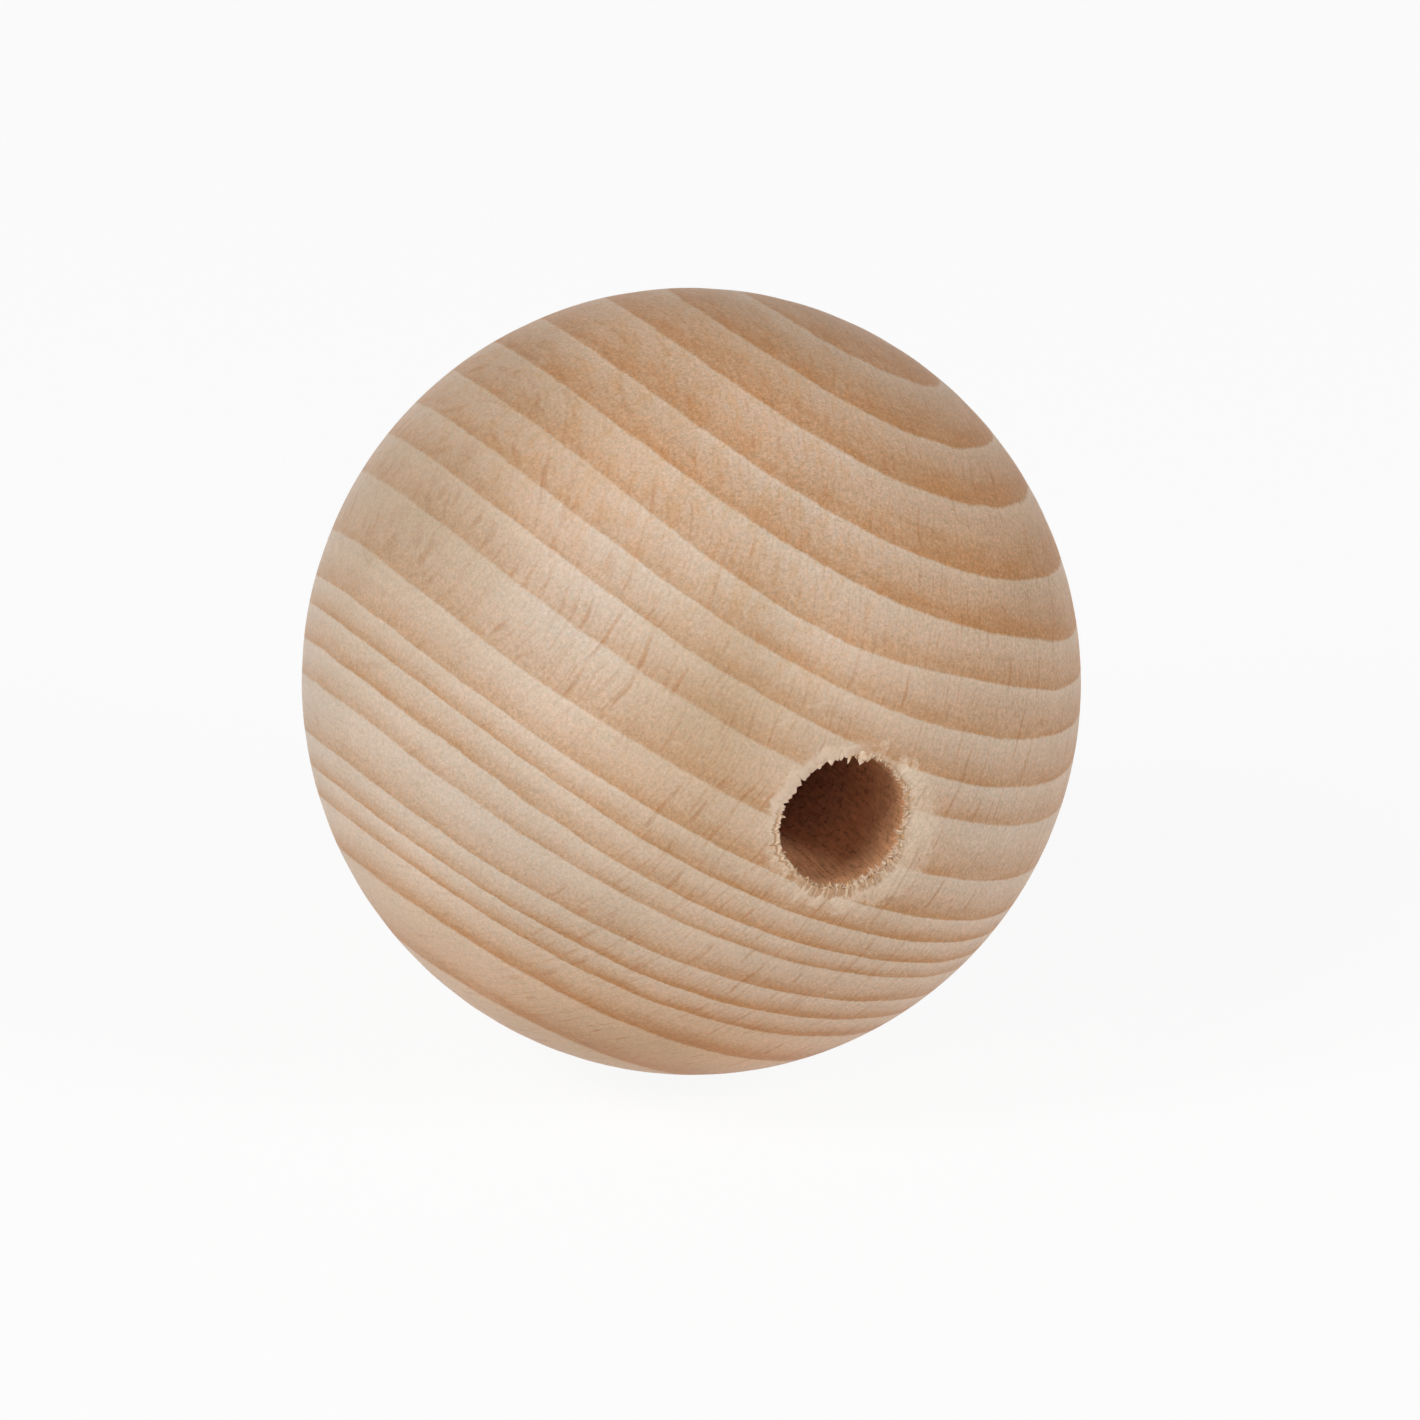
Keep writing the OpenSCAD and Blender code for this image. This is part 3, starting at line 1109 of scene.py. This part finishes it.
# %% [markdown]
# ## The loose fibres' finish
#
# Bare fibre ends are paler than the sanded face, because nothing has rubbed them. Their colour
# varies from one to the next, from cream to golden brown. Noise in space, about as fine as one
# fibre is long, does that for all of them at once.

# %% Fibre material
FIBRE_CREAM = colour(229, 205, 179)
FIBRE_BROWN = colour(208, 168, 126)
FIBRE_ROUGHNESS = 0.7
pale_fibre = bpy.data.materials.new("torn_beech_fibre")
pale_fibre.use_nodes = True
tree = pale_fibre.node_tree
tree.nodes.clear()
patches = noise(node("ShaderNodeTexCoord").outputs["Object"], 1.8 / MM, 2.0)
fibre_colour = blend(ramp(patches, 0.40, 0.66), FIBRE_CREAM, FIBRE_BROWN)
fibre_surface = node("ShaderNodeBsdfPrincipled")
feed(fibre_surface.inputs["Base Color"], fibre_colour)
fibre_surface.inputs["Roughness"].default_value = FIBRE_ROUGHNESS
feed(node("ShaderNodeOutputMaterial").inputs["Surface"], fibre_surface.outputs[0])
fibres.data.materials.append(pale_fibre)

# %% [markdown]
# ## Floor, light and background
#
# The photograph has a pure white background with no shadow. A pale floor carries the ball and
# keeps a faint shadow. What the camera or a reflection sees of floor and world is close to
# white, but it lights the ball only a little, so the lamps alone shape it.

# %% What only the eye sees
def eye_share():
    """1 for a ray from the camera, or one that a gloss or glass sends on, and 0 for any other."""
    paths = node("ShaderNodeLightPath")
    seen = calc("MAXIMUM", paths.outputs["Is Camera Ray"], paths.outputs["Is Glossy Ray"])
    return calc("MAXIMUM", seen, paths.outputs["Is Transmission Ray"])


# %% Floor
FLOOR_SIZE = 8.0
FLOOR_GREY = 0.9
FLOOR_WHITENESS = 0.92
floor_mesh = bpy.data.meshes.new("floor")
corners = np.array([(-1, -1, 0), (1, -1, 0), (1, 1, 0), (-1, 1, 0)]) * FLOOR_SIZE / 2
corners[:, 2] = low.z
floor_mesh.from_pydata(corners, [], [(0, 1, 2, 3)])
floor = bpy.data.objects.new("floor", floor_mesh)
bpy.context.scene.collection.objects.link(floor)
paper = bpy.data.materials.new("white_paper")
paper.use_nodes = True
tree = paper.node_tree
tree.nodes.clear()
matte = node("ShaderNodeBsdfDiffuse")
matte.inputs["Color"].default_value = (FLOOR_GREY, FLOOR_GREY, FLOOR_GREY, 1)
white = node("ShaderNodeEmission")
mix = node("ShaderNodeMixShader")
feed(mix.inputs[0], calc("MULTIPLY", eye_share(), FLOOR_WHITENESS))
feed(mix.inputs[1], matte.outputs[0])
feed(mix.inputs[2], white.outputs[0])
feed(node("ShaderNodeOutputMaterial").inputs["Surface"], mix.outputs[0])
floor_mesh.materials.append(paper)

# %% World
world = bpy.data.worlds.new("white_studio")
bpy.context.scene.world = world
world.use_nodes = True
tree = world.node_tree
tree.nodes.clear()
AMBIENT = 0.06
light = node("ShaderNodeBackground")
light.inputs["Color"].default_value = (1.0, 1.0, 1.0, 1.0)
feed(light.inputs["Strength"], calc("MULTIPLY_ADD", eye_share(), 1.0 - AMBIENT, AMBIENT))
feed(node("ShaderNodeOutputWorld").inputs["Surface"], light.outputs[0])

# %% [markdown]
# ### Lamps
#
# The ball's shading in the photograph fits two soft lamps, the key at the upper left and a
# second one at the right, with wide weak ones at the low left and in front. A lamp behind the
# ball lights its hidden side for other views. It leaves no gloss, as it would draw a bright rim
# along the top.

# %% Lamps
LAMP_DISTANCE = 1.2


def soft_lamp(name, direction, size, power):
    """A square lamp that faces the ball from a direction: (right, up, towards the camera)."""
    lamp_data = bpy.data.lights.new(name, "AREA")
    lamp_data.shape = "SQUARE"
    lamp_data.size = size
    lamp_data.energy = power
    lamp = bpy.data.objects.new(name, lamp_data)
    bpy.context.scene.collection.objects.link(lamp)
    way = (right * direction[0] + above * direction[1] + back * direction[2]).normalized()
    lamp.location = way * LAMP_DISTANCE
    lamp.rotation_euler = (-way).to_track_quat("-Z", "Y").to_euler()
    return lamp


soft_lamp("key_lamp", (-0.59, 0.40, 0.70), 0.42, 7.3)
soft_lamp("second_lamp", (0.77, 0.23, 0.60), 0.42, 6.2)
soft_lamp("low_lamp", (-0.8, -0.2, 0.6), 0.9, 5.1)
soft_lamp("front_lamp", (0.0, 0.15, 1.0), 0.9, 1.4)
back_lamp = soft_lamp("back_lamp", (0.0, 0.46, -0.9), 0.5, 2.2)
back_lamp.visible_glossy = False
bpy.context.scene.view_settings.view_transform = "Standard"
